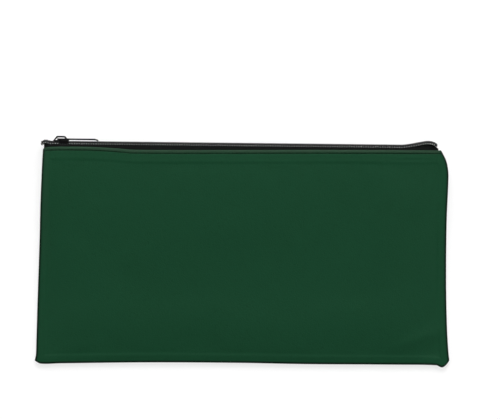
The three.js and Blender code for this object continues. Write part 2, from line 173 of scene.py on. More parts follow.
def seam_z(y):
    return mix(SEAM_MIDDLE, CHAIN_Z, rise(y))


# ---------------------------------------------------------------- meshes

def new_object(name, data):
    """An object in the scene, for a mesh, a light or a camera."""
    obj = bpy.data.objects.new(name, data)
    bpy.context.scene.collection.objects.link(obj)
    return obj


def mesh_of(name, points, faces):
    """A mesh from points in millimetres."""
    mesh = bpy.data.meshes.new(name)
    mesh.from_pydata((np.asarray(points) * MM).tolist(), [], [tuple(map(int, f)) for f in faces])
    mesh.shade_smooth()
    return mesh


def turned_outwards(mesh):
    """Turns the faces of closed shells outwards."""
    made = bmesh.new()
    made.from_mesh(mesh)
    bmesh.ops.recalc_face_normals(made, faces=made.faces)
    made.to_mesh(mesh)
    made.free()
    return mesh


def piece(name, mesh, material, cad_node, body="pouch"):
    """A shown piece that stands for one CAD node and rides on its body."""
    obj = new_object(name, mesh)
    mesh.materials.append(material)
    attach(obj, body)
    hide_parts(cad_node)
    return obj


def paint(mesh, name, values):
    """Stores a value for each vertex, which a material reads by its name."""
    mesh.attributes.new(name, "FLOAT", "POINT").data.foreach_set("value", values)


def grid_faces(rows, columns, wrap=False):
    """Quads of a grid of points, row by row. With wrap, each row closes on itself."""
    i, j = np.meshgrid(np.arange(rows - 1), np.arange(columns if wrap else columns - 1), indexing="ij")
    k = (j + 1) % columns
    return np.stack([i * columns + j, i * columns + k, (i + 1) * columns + k, (i + 1) * columns + j],
                    axis=-1).reshape(-1, 4)


def tube(path, radius, side_axis, sides=8, lobes=0, lobe_depth=0.0, lay=1.0, flat=1.0):
    """Points and faces of a tube along a path. flat stretches it along side_axis. A twisted thread has lobes,
    which turn once in the length lay. radius and flat are numbers, or arrays with a number for each point."""
    path = np.asarray(path, float)
    tangent = np.gradient(path, axis=0)
    tangent /= np.linalg.norm(tangent, axis=1, keepdims=True)
    axis = np.asarray(side_axis, float)
    across = axis - tangent * (tangent @ axis)[:, None]
    across /= np.linalg.norm(across, axis=1, keepdims=True)
    normal = np.cross(tangent, across)
    length = np.r_[0, np.cumsum(np.linalg.norm(np.diff(path, axis=0), axis=1))]
    angle = np.arange(sides) * TURN / sides
    reach = 1 + lobe_depth * np.cos(lobes * (angle[None] - TURN * length[:, None] / lay))
    reach = reach * (np.asarray(radius) * np.ones(len(path)))[:, None]
    stretch = (np.asarray(flat) * np.ones(len(path)))[:, None]
    points = (path[:, None] + (reach * np.cos(angle) * stretch)[..., None] * across[:, None]
              + (reach * np.sin(angle))[..., None] * normal[:, None])
    last = (len(path) - 1) * sides
    faces = [*grid_faces(len(path), sides, wrap=True),
             tuple(range(sides))[::-1], tuple(range(last, last + sides))]
    return points.reshape(-1, 3), faces


def joined(parts):
    """Points and faces of several shells as one."""
    points, faces, start = [], [], 0
    for part_points, part_faces in parts:
        points.append(part_points)
        faces += [tuple(int(k) + start for k in f) for f in part_faces]
        start += len(part_points)
    return np.concatenate(points), faces


# ---------------------------------------------------------------- materials

# Tones of the faux leather, with a painted sheen and a painted shade on it, a pale painted highlight for the
# feet of the zip's stitching, and the tone of nylon where it was cut
GREEN = (0.0019, 0.0372, 0.0131, 1)
GREEN_CLOUD = (0.0026, 0.0422, 0.0160, 1)
GREEN_MOTTLE = (0.0040, 0.0482, 0.0200, 1)
GREEN_PIT = (0.0007, 0.0258, 0.0095, 1)
GREEN_PAINTED_SHEEN = (0.0145, 0.0370, 0.0200, 1)
GREEN_PAINTED_SHADE = (0.0006, 0.0085, 0.0034, 1)
PAINTED_HIGHLIGHT = (0.68, 0.69, 0.68, 1)
CUT_NYLON = (0.115, 0.095, 0.080, 1)


def node(tree, kind, inputs=None, **properties):
    """A shader node. An input is a value, or a socket to link."""
    made = tree.nodes.new(kind)
    for name, value in properties.items():
        setattr(made, name, value)
    for name, value in (inputs or {}).items():
        if isinstance(value, bpy.types.NodeSocket):
            tree.links.new(value, made.inputs[name])
        else:
            made.inputs[name].default_value = value
    return made


def math_node(tree, operation, a, b=0.0):
    """The result of an operation on one or two values."""
    return node(tree, "ShaderNodeMath", {0: a, 1: b}, operation=operation).outputs[0]


def ramp(tree, value, low, high, out_low=0.0, out_high=1.0):
    """A value taken from between low and high to between out_low and out_high, and kept between them."""
    return node(tree, "ShaderNodeMapRange", {"Value": value, "From Min": low, "From Max": high,
                                             "To Min": out_low, "To Max": out_high}).outputs["Result"]


def blended(tree, share, a, b):
    """A colour between a and b."""
    return node(tree, "ShaderNodeMix", {0: share, 6: a, 7: b}, data_type="RGBA").outputs[2]


def stored(tree, name):
    """A value that was painted on the mesh."""
    return node(tree, "ShaderNodeAttribute", attribute_name=name).outputs["Fac"]


def wave(tree, where, length):
    """A sine along a coordinate, with a wave length in millimetres."""
    return math_node(tree, "SINE", math_node(tree, "MULTIPLY", where, TURN / (length * MM)))


def noise(tree, where, size, detail=3.0, roughness=0.5):
    """Noise whose features are about size millimetres across."""
    return node(tree, "ShaderNodeTexNoise", {"Vector": where, "Scale": 1 / (size * MM), "Detail": detail,
                                             "Roughness": roughness}).outputs["Fac"]


def cells(tree, where, size, feature="F1"):
    """Distance from the middles of cells about size millimetres across."""
    return node(tree, "ShaderNodeTexVoronoi", {"Vector": where, "Scale": 1 / (size * MM)},
                feature=feature).outputs["Distance"]


def bump(tree, height, depth, normal=None):
    """A bump of the given depth in millimetres."""
    inputs = {"Height": height, "Distance": depth * MM, "Strength": 1.0}
    if normal is not None:
        inputs["Normal"] = normal
    return node(tree, "ShaderNodeBump", inputs).outputs["Normal"]


def shader(name, specular, sheen=0.0, coat=0.0):
    """A material with a Principled shader. Returns it, its tree, its shader and object coordinates."""
    material = bpy.data.materials.new(name)
    material.use_nodes = True
    tree = material.node_tree
    surface = next(n for n in tree.nodes if n.type == "BSDF_PRINCIPLED")
    surface.inputs["Specular IOR Level"].default_value = specular
    surface.inputs["Sheen Weight"].default_value = sheen
    surface.inputs["Coat Weight"].default_value = coat
    where = node(tree, "ShaderNodeTexCoord").outputs["Object"]
    return material, tree, surface, where


def finish_shader(tree, surface, colour, roughness, normal):
    tree.links.new(colour, surface.inputs["Base Color"])
    tree.links.new(roughness, surface.inputs["Roughness"])
    tree.links.new(normal, surface.inputs["Normal"])


def leather_material():
    """Dark green faux leather: a fine pebble grain, cloudy tone, painted shade along the edges and in the
    stitching groove, and a painted sheen on the hem.
    """
    material, tree, surface, where = shader("dark_green_faux_leather", specular=0.13)
    clouds = noise(tree, where, 45, detail=4)
    mottle = noise(tree, where, 3.5, detail=5, roughness=0.6)
    grain = cells(tree, where, 0.75, "SMOOTH_F1")
    pebble = cells(tree, where, 0.42)
    wrinkles = noise(tree, where, 1.6, detail=4, roughness=0.55)
    tone = blended(tree, clouds, GREEN, GREEN_CLOUD)
    tone = blended(tree, ramp(tree, mottle, 0.35, 0.75, 0, 0.35), tone, GREEN_MOTTLE)
    tone = blended(tree, ramp(tree, grain, 0.5, 0.9, 0, 0.5), tone, GREEN_PIT)
    # painted sheen: a paler, greyer green on the hem strip and its fold, where the light catches them
    painted_sheen = math_node(tree, "MULTIPLY", stored(tree, "painted_sheen"), ramp(tree, mottle, 0.3, 0.65, 0.5, 0.9))
    tone = blended(tree, painted_sheen, tone, GREEN_PAINTED_SHEEN)
    # painted shade: darker green along the seam edges, on the rolled edges and in the stitching groove
    edge = stored(tree, "painted_shade")
    tone = blended(tree, edge, tone, GREEN_PAINTED_SHADE)
    roughness = ramp(tree, mottle, 0.3, 0.7, 0.62, 0.70)
    roughness = math_node(tree, "ADD", roughness, math_node(tree, "MULTIPLY", edge, 0.3))
    normal = bump(tree, wrinkles, 0.07)
    normal = bump(tree, grain, -0.06, normal)
    normal = bump(tree, pebble, -0.03, normal)
    finish_shader(tree, surface, tone, roughness, normal)
    return material


def backing_material():
    """The knitted cloth on the faux leather's inner face."""
    material, tree, surface, where = shader("grey_green_knit_backing", specular=0.2, sheen=0.3)
    x, y, _ = node(tree, "ShaderNodeSeparateXYZ", {0: where}).outputs
    knit = math_node(tree, "MULTIPLY", wave(tree, x, 0.9), wave(tree, y, 0.7))
    tone = blended(tree, ramp(tree, knit, -1, 1), (0.030, 0.062, 0.045, 1), (0.055, 0.100, 0.075, 1))
    fuzz = noise(tree, where, 0.3)
    finish_shader(tree, surface, tone, ramp(tree, fuzz, 0, 1, 0.85, 1.0), bump(tree, knit, 0.08))
    return material


def tape_material():
    """Black woven polyester tape, its ribs along the zip."""
    material, tree, surface, where = shader("black_woven_tape", specular=0.12)
    x, y, z = node(tree, "ShaderNodeSeparateXYZ", {0: where}).outputs
    over = math_node(tree, "SUBTRACT", z, y)
    twill = wave(tree, math_node(tree, "ADD", over, x), 0.5)
    weave = math_node(tree, "ADD", wave(tree, over, 0.62), math_node(tree, "MULTIPLY", twill, 0.6))
    lint = noise(tree, where, 0.25)
    tone = blended(tree, ramp(tree, weave, -1.6, 1.6), (0.0016, 0.0022, 0.0021, 1),
                   (0.0056, 0.0068, 0.0066, 1))
    tone = blended(tree, ramp(tree, lint, 0.6, 0.9, 0, 0.4), tone, (0.016, 0.018, 0.017, 1))
    finish_shader(tree, surface, tone, ramp(tree, lint, 0, 1, 0.7, 0.95), bump(tree, weave, 0.06))
    return material


def nylon_material():
    """Glossy black nylon filament, browned where it was cut and melted at the zip's ends."""
    material, tree, surface, where = shader("black_nylon_filament", specular=0.3)
    x = node(tree, "ShaderNodeSeparateXYZ", {0: where}).outputs["X"]
    left = ramp(tree, x, (LEFT_END[0][0] + 0.6) * MM, (LEFT_END[1][0] + 0.9) * MM, 0.75, 0)
    right = ramp(tree, x, (RIGHT_END[-2][0] - 0.4) * MM, RIGHT_END[-1][0] * MM, 0, 0.6)
    cut = math_node(tree, "ADD", left, right)
    specks = noise(tree, where, 0.7, detail=5)
    tone = blended(tree, specks, (0.0018, 0.0019, 0.0020, 1), (0.0040, 0.0042, 0.0043, 1))
    tone = blended(tree, cut, tone, CUT_NYLON)
    drawn = noise(tree, where, 0.18)
    finish_shader(tree, surface, tone, ramp(tree, specks, 0.3, 0.7, 0.24, 0.36), bump(tree, drawn, 0.012))
    return material


def thread_material(name, dark, light, sheen=0.0):
    """Spun polyester thread, whose fibres catch a little light. At a stitch's foot it carries a pale painted
    highlight."""
    material, tree, surface, where = shader(name, specular=0.08, sheen=sheen)
    fibres = noise(tree, where, 0.12, detail=2)
    tone = blended(tree, ramp(tree, fibres, 0.3, 0.7), (*dark, 1), (*light, 1))
    # painted highlight: a near-white dot where a stitch's foot shows between the coil's loops
    tone = blended(tree, ramp(tree, stored(tree, "foot"), 0.15, 0.6), tone, PAINTED_HIGHLIGHT)
    finish_shader(tree, surface, tone, ramp(tree, fibres, 0, 1, 0.55, 0.8), bump(tree, fibres, 0.03))
    return material


def enamel_material():
    """Black baked enamel on a zinc casting: slight orange peel, a little wear."""
    material, tree, surface, where = shader("black_enamel", specular=0.13, coat=0.03)
    peel = noise(tree, where, 0.9, detail=2)
    dust = noise(tree, where, 0.35, detail=6, roughness=0.7)
    worn = ramp(tree, node(tree, "ShaderNodeNewGeometry").outputs["Pointiness"], 0.56, 0.66)
    worn = math_node(tree, "MULTIPLY", worn, ramp(tree, dust, 0.45, 0.6))
    tone = blended(tree, dust, (0.0007, 0.0007, 0.0008, 1), (0.0019, 0.0019, 0.0020, 1))
    tone = blended(tree, worn, tone, (0.007, 0.007, 0.0075, 1))
    finish_shader(tree, surface, tone, ramp(tree, dust, 0.3, 0.7, 0.30, 0.42), bump(tree, peel, 0.02))
    return material


# ---------------------------------------------------------------- leather panels

ROLL = 0.75                 # width of the rolled seam edge
ROLL_DEPTH = 1.42           # from the outer face round the roll
ROLL_STEPS = 8
HEM_ROLL = 1.65             # width of the rolled hem edge
LAYER_DEPTH = 1.3           # a turned layer's face, below the outer face
TURNED_STEPS = 7
GROOVE_DEPTH = 0.26         # of the topstitching
DEEPEST_DIP = 0.48          # of a needle hole in that groove
EDGE_SHADE = 1.1            # width of the painted shade line along a seam edge
ROLL_SHADES = (1, 1, 0.75, 0.45, 0.35, 0.35, 0.5, 0.8)     # how dark the painted shade on a seam's roll is, ring by ring from the face down
ACROSS = np.linspace(0, 1, 4 * STITCHES + 1)
NEAR_STEP = 0.6             # between rows near the bottom seam and the zip
GROOVE_STEP = 0.2           # between rows about the topstitching
MIDDLE_ROWS = 54


def row_shares():
    """Rows up the panel, as shares of its height: close together near the bottom seam and near the zip, and
    closest about the topstitching."""
    near_bottom, near_zip, near_stitching = 9, 11, 3.2
    height = fold_y(0) - bottom_y(0) - ROLL - HEM_ROLL
    low = np.arange(0, near_bottom, NEAR_STEP)
    high = np.r_[np.arange(near_zip, near_stitching + GROOVE_STEP, -NEAR_STEP),
                 np.arange(near_stitching, -0.01, -GROOVE_STEP)]
    middle = np.linspace(low[-1], height - high[0], MIDDLE_ROWS + 2)[1:-1]
    return np.r_[low, middle, height - high] / height


def place(across, up, inset, hem_inset):
    """Where a share across and up the panel lies, with the panel drawn in by insets."""
    x = mix(left_x(0.0), right_x(0.0), across)
    for _ in range(5):
        y = mix(bottom_y(x) + inset, fold_y(x) - hem_inset, up)
        x = mix(left_x(y) + inset, right_x(y) - inset, across)
    return x, y


def crease(x, y, middle, angle, half_length, half_width, height):
    """A soft fold: a ridge through middle at an angle from X, in degrees."""
    turn = math.radians(angle)
    dx, dy = x - middle[0], y - middle[1]
    along = dx * math.cos(turn) + dy * math.sin(turn)
    over = dy * math.cos(turn) - dx * math.sin(turn)
    return height * np.exp(-(along / half_length) ** 2 - (over / half_width) ** 2)


# Folds in the front panel: (middle, angle, half length, half width, height)
FRONT_FOLDS = [
    ((116, -56), 22, 17, 3.4, 0.55),
    ((124, -64), 20, 9, 5, -0.35),
    ((108, 61.5), -2, 17, 0.9, 0.16),
    ((112, 59.4), 1, 14, 1.1, -0.14),
    ((104, 57.2), -1, 19, 1.4, 0.12),
    ((126.2, 51), 84, 8, 0.9, 0.22),
    ((128.6, 47), 88, 7, 0.8, -0.2),
    ((124.6, 44), 82, 7, 1.2, 0.15),
    ((-114, 58.6), -15, 5, 2.2, 0.14),
    ((-108, -62), 12, 14, 4, 0.25),
    ((-60, -66), 3, 26, 3.6, 0.14),
    ((40, -67), -2, 34, 3.8, 0.16),
    ((-70, 57), 2, 26, 2.6, 0.12),
    ((20, 56.5), -1, 34, 3, 0.10),
    ((-118, 20), 86, 26, 6, 0.16),
    ((119, 4), 93, 30, 6, 0.16),
]
BACK_FOLDS = [
    ((-117, -58), 24, 14, 3.4, -0.35),
    ((113, -57), -24, 16, 3.6, -0.4),
    ((-60, 40), 10, 34, 6, -0.25),
    ((48, 20), -16, 42, 7, -0.3),
]


def from_edges(x, y):
    """Distances in from the nearer side seam, from the bottom seam and from the hem's fold."""
    return np.minimum(x - left_x(y), right_x(y) - x), y - bottom_y(x), fold_y(x) - y


def past(distance, start, over):
    """0 up to start, and 1 from over further on."""
    return smooth((distance - start) / over)


def face_z(side, x, y):
    """Height of a panel's outer face: the front (side 1) is crowned, and the back (side -1) lies flat."""
    from_side, from_bottom, from_fold = from_edges(x, y)
    from_seam = np.minimum(from_side, from_bottom)
    rolls = [np.sin(TURN / 4 * np.clip(distance / EDGE_ROLL, 0, 1)) for distance in (from_side, from_bottom)]
    low = mix(SEAM_THICKNESS, LOFT, rolls[0] * rolls[1]) if side > 0 else np.zeros_like(from_seam)
    stack = leg_at(x, HEM_EASE) + CHAIN_Z - TAPE_BEND
    z = mix(low, CHAIN_Z + side * stack, rise(y))
    z = z - side * RIDGE * np.minimum(past(from_seam, *SEAM_RIDGE), past(from_fold, *HEM_RIDGE))
    free = past(from_seam, 1, 5) * past(from_fold, 3, 3)
    for fold in FRONT_FOLDS if side > 0 else BACK_FOLDS:
        z = z + side * free * crease(x, y, *fold)
    return z


def stitch_run():
    """The first needle hole of a topstitching, and the distance between holes."""
    first, last = left_x(65.0) + ROLL, right_x(65.0) - ROLL
    return first, (last - first) / STITCHES


def stitch_dip(x, y):
    """The topstitching's groove and its needle holes, below the outer face."""
    first, pitch = stitch_run()
    upper_half_width, lower_half_width = 0.3, 0.42
    off = fold_y(x) - y - STITCH_BELOW_FOLD
    groove = GROOVE_DEPTH * np.exp(-(off / np.where(off < 0, upper_half_width, lower_half_width)) ** 2)
    hole = 0.5 + 0.5 * np.cos(TURN * (x - first) / pitch)
    return groove + (DEEPEST_DIP - GROOVE_DEPTH) * hole ** 3 * np.exp(-(off / upper_half_width) ** 2)


def edge_profile():
    """How a panel goes on past its outer face, ring by ring: how far in from the edge and how deep each ring
    lies at the seams, and then both at the hem."""
    rings = []
    for k in range(1, ROLL_STEPS + 1):
        turn = k / ROLL_STEPS * TURN / 2
        rings.append((ROLL * (1 - math.sin(turn)), ROLL_DEPTH / 2 * (1 - math.cos(turn)),
                      HEM_ROLL * (1 - math.sin(turn)), LAYER_DEPTH / 2 * (1 - math.cos(turn))))
    for k in range(1, TURNED_STEPS + 1):
        share = (k / TURNED_STEPS) ** 1.4
        rings.append((mix(ROLL, ALLOWANCE, share), mix(LAYER_DEPTH, ROLL_DEPTH, (1 - share) ** 8),
                      mix(HEM_ROLL, HEM, share), LAYER_DEPTH))
    return rings


def panel(side, lift, leather, backing):
    """One panel: its outer face, the rolled edges, the turned allowances and the hem are one sheet. lift
    says how far its face has settled outwards."""
    up = row_shares()
    rows, columns = len(up), len(ACROSS)
    across, ups = np.meshgrid(ACROSS, up)
    x, y = place(across, ups, ROLL, HEM_ROLL)
    outer = np.stack([x, y, face_z(side, x, y) + side * lift(across, ups)], axis=-1).reshape(-1, 3)
    ids = np.arange(rows * columns).reshape(rows, columns)
    border = np.r_[ids[0, :-1], ids[:-1, -1], ids[-1, :0:-1], ids[:0:-1, 0]]
    ring_across = across.reshape(-1)[border]
    ring_up = ups.reshape(-1)[border]
    on_hem = (ring_up == 1).astype(float)
    for _ in range(5):
        on_hem = (np.roll(on_hem, 1) + on_hem + np.roll(on_hem, -1)) / 3
    rings = []
    for inset, depth, hem_inset, hem_depth in edge_profile():
        rx, ry = place(ring_across, ring_up, inset, hem_inset)
        rings.append(np.stack([rx, ry, face_z(side, rx, ry) - side * mix(depth, hem_depth, on_hem)], axis=-1))
    points = np.concatenate([outer, *rings])
    faces = [grid_faces(rows, columns)]
    before = border
    for k in range(len(rings)):
        ring = rows * columns + k * len(border) + np.arange(len(border))
        faces.append(np.stack([before, ring, np.roll(ring, -1), np.roll(before, -1)], axis=-1))
        before = ring
    faces = np.concatenate(faces)
    if side < 0:
        faces = faces[:, ::-1]
    skin = mesh_of("panel_outer_face", points, faces)
    normals = np.empty(len(points) * 3)
    skin.vertex_normals.foreach_get("vector", normals)
    normals = normals.reshape(-1, 3)
    bpy.data.meshes.remove(skin)

    dip = stitch_dip(outer[:, 0], outer[:, 1])
    face_points = points.copy()
    face_points[:len(outer)] -= normals[:len(outer)] * dip[:, None]
    under = points - normals * SHEET
    count = len(points)
    cut = np.stack([before, before + count, np.roll(before, -1) + count, np.roll(before, -1)], axis=-1)
    cut = cut if side > 0 else cut[:, ::-1]
    mesh = mesh_of(f"{SIDES[side]}_panel_leather", np.concatenate([face_points, under]),
                   [*faces, *(faces[:, ::-1] + count), *cut])
    turned_outwards(mesh)
    from_side, from_bottom, _ = from_edges(x, y)
    # painted shade: a dark line along the seam edges, darker rolled edges and a darker stitching groove,
    # where shade falls
    edge_shade_line = smooth(1 - (np.minimum(from_side, from_bottom).reshape(-1) - ROLL) / EDGE_SHADE)
    painted_roll_shade = np.ones(len(rings))
    painted_roll_shade[:ROLL_STEPS] = ROLL_SHADES
    painted_shade = np.zeros(2 * count)
    painted_shade[:len(outer)] = np.maximum(np.clip(dip / DEEPEST_DIP, 0, 1), edge_shade_line)
    painted_shade[len(outer):count] = (painted_roll_shade[:, None] * (1 - on_hem)).reshape(-1)
    paint(mesh, "painted_shade", painted_shade)
    # painted sheen: the strip above the topstitching and the hem's rolled fold are painted paler
    painted_sheen = np.zeros(2 * count)
    painted_sheen[:len(outer)] = smooth((STITCH_BELOW_FOLD - 0.1 - fold_y(outer[:, 0]) + outer[:, 1]) / 0.4)
    painted_sheen[len(outer):count] = np.tile(on_hem, len(rings))
    paint(mesh, "painted_sheen", painted_sheen)
    name = f"{SIDES[side]}_panel"
    obj = piece(f"{name}_leather", mesh, leather, name)
    mesh.materials.append(backing)
    inner = np.zeros(len(mesh.polygons), int)
    inner[len(faces):2 * len(faces)] = 1
    mesh.polygons.foreach_set("material_index", inner)
    return obj


# ---------------------------------------------------------------- settling on the contents

SIM_SCALE = 0.01            # simulated metres to a millimetre: the solver is made for sheets metres wide
SIM_GRID = (84, 46)         # columns and rows
SIM_FRAMES = 20
HELD_AT_SEAM = 6            # width of the border that the seams hold
HELD_AT_HEM = 9
FILLING_GAP = 0.35          # the contents lie this far below the panel as it was cut
SLACK = 0.0006              # extra length in the sheet
CLEARANCE = 1.0             # kept by the solver between the sheet and the contents
LIFT_LIMIT = 0.45           # the movement nears this, and never passes it
DRAPE = 0.7                 # share of the simulated movement that the stiff coated sheet keeps


def settled(side):
    """A cloth simulation of one panel, its outer face up, as it settles on what is in the bag. The seams and
    the zip hold its border. Returns how far the panel moves outwards, as a function of the shares across it
    and up it."""
    columns, rows = SIM_GRID
    across, up = np.meshgrid(np.linspace(0, 1, columns), np.linspace(0, 1, rows))
    x, y = place(across, up, ROLL, HEM_ROLL)
    cut = np.stack([x, y, side * face_z(side, x, y)], axis=-1).reshape(-1, 3)
    made = []
    for name, points in (("sheet", cut), ("contents", cut - (0, 0, FILLING_GAP + CLEARANCE))):
        mesh = mesh_of(name, points * SIM_SCALE / MM, grid_faces(rows, columns))
        made.append(new_object(name, mesh))
    sheet, contents = made
    contents.modifiers.new("contents", "COLLISION")
    contents.collision.thickness_outer = 0.001
    contents.collision.cloth_friction = 5

    from_side, from_bottom, from_fold = from_edges(x, y)
    from_seam = np.minimum(from_side, from_bottom)
    border = np.flatnonzero((from_seam < HELD_AT_SEAM) | (from_fold < HELD_AT_HEM))
    held = sheet.vertex_groups.new(name="held")
    held.add(border.tolist(), 1.0, "REPLACE")
    cloth = sheet.modifiers.new("cloth", "CLOTH")
    settings = cloth.settings
    settings.quality = 6
    settings.mass = 0.1
    settings.tension_stiffness = settings.compression_stiffness = 80
    settings.shear_stiffness = 48
    settings.bending_model = "ANGULAR"
    settings.bending_stiffness = 30
    settings.vertex_group_mass = held.name
    settings.pin_stiffness = 50
    settings.shrink_min = -SLACK
    settings.air_damping = 2
    settings.effector_weights.gravity = 0.3
    cloth.collision_settings.distance_min = CLEARANCE * SIM_SCALE
    cloth.point_cache.frame_end = SIM_FRAMES
    for step in range(1, SIM_FRAMES + 1):
        bpy.context.scene.frame_set(step)
    rested = sheet.evaluated_get(bpy.context.evaluated_depsgraph_get()).to_mesh()
    points = np.empty(len(cut) * 3)
    rested.vertices.foreach_get("co", points)
    moved = (points.reshape(-1, 3) / SIM_SCALE - cut)[:, 2].reshape(rows, columns)
    for obj in made:
        bpy.data.objects.remove(obj)
    bpy.context.scene.frame_set(1)

    for _ in range(4):
        padded = np.pad(moved, 1, mode="edge")
        moved = (padded[:-2, 1:-1] + padded[2:, 1:-1] + padded[1:-1, :-2] + padded[1:-1, 2:] + 2 * moved) / 6
    moved = DRAPE * LIFT_LIMIT * np.tanh(moved / LIFT_LIMIT)
    moved *= past(from_seam, ALLOWANCE, 5) * past(from_fold, HEM, 5)
    if side < 0:
        moved = np.minimum(moved, 0)

    def lift(across, up):
        """The movement between the grid's points, by cubic interpolation along rows and then columns."""
        value = 0
        at_row, row_share = np.divmod(np.clip(up * (rows - 1), 0, rows - 1.001), 1)
        at_column, column_share = np.divmod(np.clip(across * (columns - 1), 0, columns - 1.001), 1)
        for i, row_weight in enumerate(cubic_weights(row_share)):
            row = np.clip(at_row.astype(int) + i - 1, 0, rows - 1)
            for j, column_weight in enumerate(cubic_weights(column_share)):
                column = np.clip(at_column.astype(int) + j - 1, 0, columns - 1)
                value = value + row_weight * column_weight * moved[row, column]
        return value
    return lift


def cubic_weights(t):
    """Weights of the four points about a share t between the middle two."""
    return ((-t + 2 * t ** 2 - t ** 3) / 2, (2 - 5 * t ** 2 + 3 * t ** 3) / 2,
            (t + 4 * t ** 2 - 3 * t ** 3) / 2, (t ** 3 - t ** 2) / 2)


# ---------------------------------------------------------------- sewing threads

def thread(name, x, y, z, radius, material):
    """A sewing thread through points: two yarns twisted together."""
    made = tube(np.stack([x, y, z], axis=-1), radius, (0, 0, 1), lobes=2, lobe_depth=0.2, lay=1.3)
    return piece(name, turned_outwards(mesh_of(name, *made)), material, f"{name}_thread")


def topstitch(side, which, material):
    """The needle thread lies on the hem and dives at each hole. The bobbin thread lies behind the tape."""
    first, pitch = stitch_run()
    x = np.arange(first + pitch, first + (STITCHES - 1) * pitch, 0.16)
    y = fold_y(x) - STITCH_BELOW_FOLD
    out_of_hole = (0.5 - 0.5 * np.cos(TURN * (x - first) / pitch)) ** 0.35
    if which == "needle":
        z = face_z(side, x, y) - side * mix(0.62, 0.16, out_of_hole)
    else:
        z = CHAIN_Z + side * (leg_at(x) - mix(0.05, 0.25, out_of_hole))
    return thread(f"{SIDES[side]}_topstitch_{which}", x, y, z, THREAD_RADIUS, material)


def seam_thread(where, which, material):
    """The two threads of a seam lie side by side between the panels and come together at each hole."""
    side = 1 if which == "needle" else -1
    share = np.linspace(0.012, 0.988, 1100 if where == "bottom" else 620)
    ends = np.ones_like(share)
    if where == "bottom":
        x, y = place(share, ends * 0, SEAM_INSET, HEM_ROLL)
    else:
        x, y = place(ends * (where == "right"), share, SEAM_INSET, HEM_ROLL)
    length = np.r_[0, np.cumsum(np.hypot(np.diff(x), np.diff(y)))]
    at_hole = np.abs(np.cos(TURN / 2 * length / SEAM_STITCH)) ** 6
    z = seam_z(y) + side * mix(0.12, 0.02, at_hole)
    return thread(f"{where}_seam_{which}", x, y, z, SEAM_THREAD_RADIUS, material)


# ---------------------------------------------------------------- zip

def chain_frame():
    """Lengths along the middle of the chain at even spacing, with its points and its tangents there in the XY
    plane."""
    x = np.linspace(LEFT_END[0][0], RIGHT_END[-1][0], 6000)
    y = chain_y(x)
    length = np.r_[0, np.cumsum(np.hypot(np.diff(x), np.diff(y)))]
    lengths = np.arange(0, length[-1], CHAIN_SPACING)
    px, py = np.interp(lengths, length, x), np.interp(lengths, length, y)
    tx, ty = np.gradient(px), np.gradient(py)
    size = np.hypot(tx, ty)
    return lengths, np.stack([px, py], axis=-1), np.stack([tx, ty], axis=-1) / size[:, None]


def on_chain(side, at, up, out, table):
    """Points at a distance along the chain, a height over its middle and a distance out from it."""
    lengths, middles, tangents = table
    s = np.clip(at, 0, lengths[-1])
    middle = np.stack([np.interp(s, lengths, middles[:, k]) for k in (0, 1)], axis=-1)
    tangent = np.stack([np.interp(s, lengths, tangents[:, k]) for k in (0, 1)], axis=-1)
    x = middle[:, 0] - tangent[:, 1] * up
    y = middle[:, 1] + tangent[:, 0] * up
    return np.stack([x, y, CHAIN_Z + side * (out + parting(x))], axis=-1)


def parting(x):
    """How far each coil stands off the middle: the chain is open in front of the slider."""
    return OPENING * smooth((SLIDER_X + 1.5 - x) / 4)


def first_loop(side):
    """Where a coil's first loop stands, in pitches: one coil's loops stand between those of the other."""
    return 0.5 if side > 0 else 1.0


def coil(side, table, material):
    """A nylon filament wound into flat loops, whose heads reach between those of the other coil. A loop is a
    rounded rectangle, and the filament steps on to the next loop at the loop's back."""
    steps, roundness, flattening = 22, 2 / 2.6, 0.16
    turns = int(table[0][-1] / COIL_PITCH) - 1
    share = np.arange(turns * steps + 1) / steps
    phase = share % 1
    c, s = np.cos(TURN * phase), np.sin(TURN * phase)
    head, back = FILAMENT - HEAD_PAST_MIDDLE, COIL_OUTER - FILAMENT
    out = mix(head, back, 0.5 - 0.5 * np.sign(c) * np.abs(c) ** roundness)
    up = (FILAMENT - COIL_HALF) * np.sign(s) * np.abs(s) ** roundness
    step = np.floor(share) + smooth((phase - 0.36) / 0.28)
    points = on_chain(side, (step + first_loop(side)) * COIL_PITCH, up, out, table)
    made = tube(points, FILAMENT, (1, 0, 0), flat=1 + flattening * smooth((0.6 - out) / 0.7))
    name = f"{SIDES[side]}_coil"
    return piece(f"{name}_helix", turned_outwards(mesh_of(name, *made)), material, name)


def coil_cord(side, table, material):
    """The soft filler cord that the filament is wound around."""
    end, middle_of_loop = 0.8, 1.62
    path = on_chain(side, np.arange(end, table[0][-1] - end, 0.3), 0, middle_of_loop, table)
    made = tube(path, 0.5, (0, 0, 1), sides=12, lobes=3, lobe_depth=0.12, lay=2.2, flat=1.6)
    name = f"{SIDES[side]}_coil_cord"
    return piece(f"{name}_twisted", turned_outwards(mesh_of(name, *made)), material, name)


# Rows of the coil stitching: distance out from the middle over a loop, then height and distance out at the
# foot between two loops, and whether the foot can be seen from outside and gets the painted highlight
STITCH_ROWS = [
    (1.05, 0.42, 1.05, False),
    (2.1, -0.5, 3.08, True),
]
STITCH_TOP = 1.16           # height of a stitch as it crosses a loop


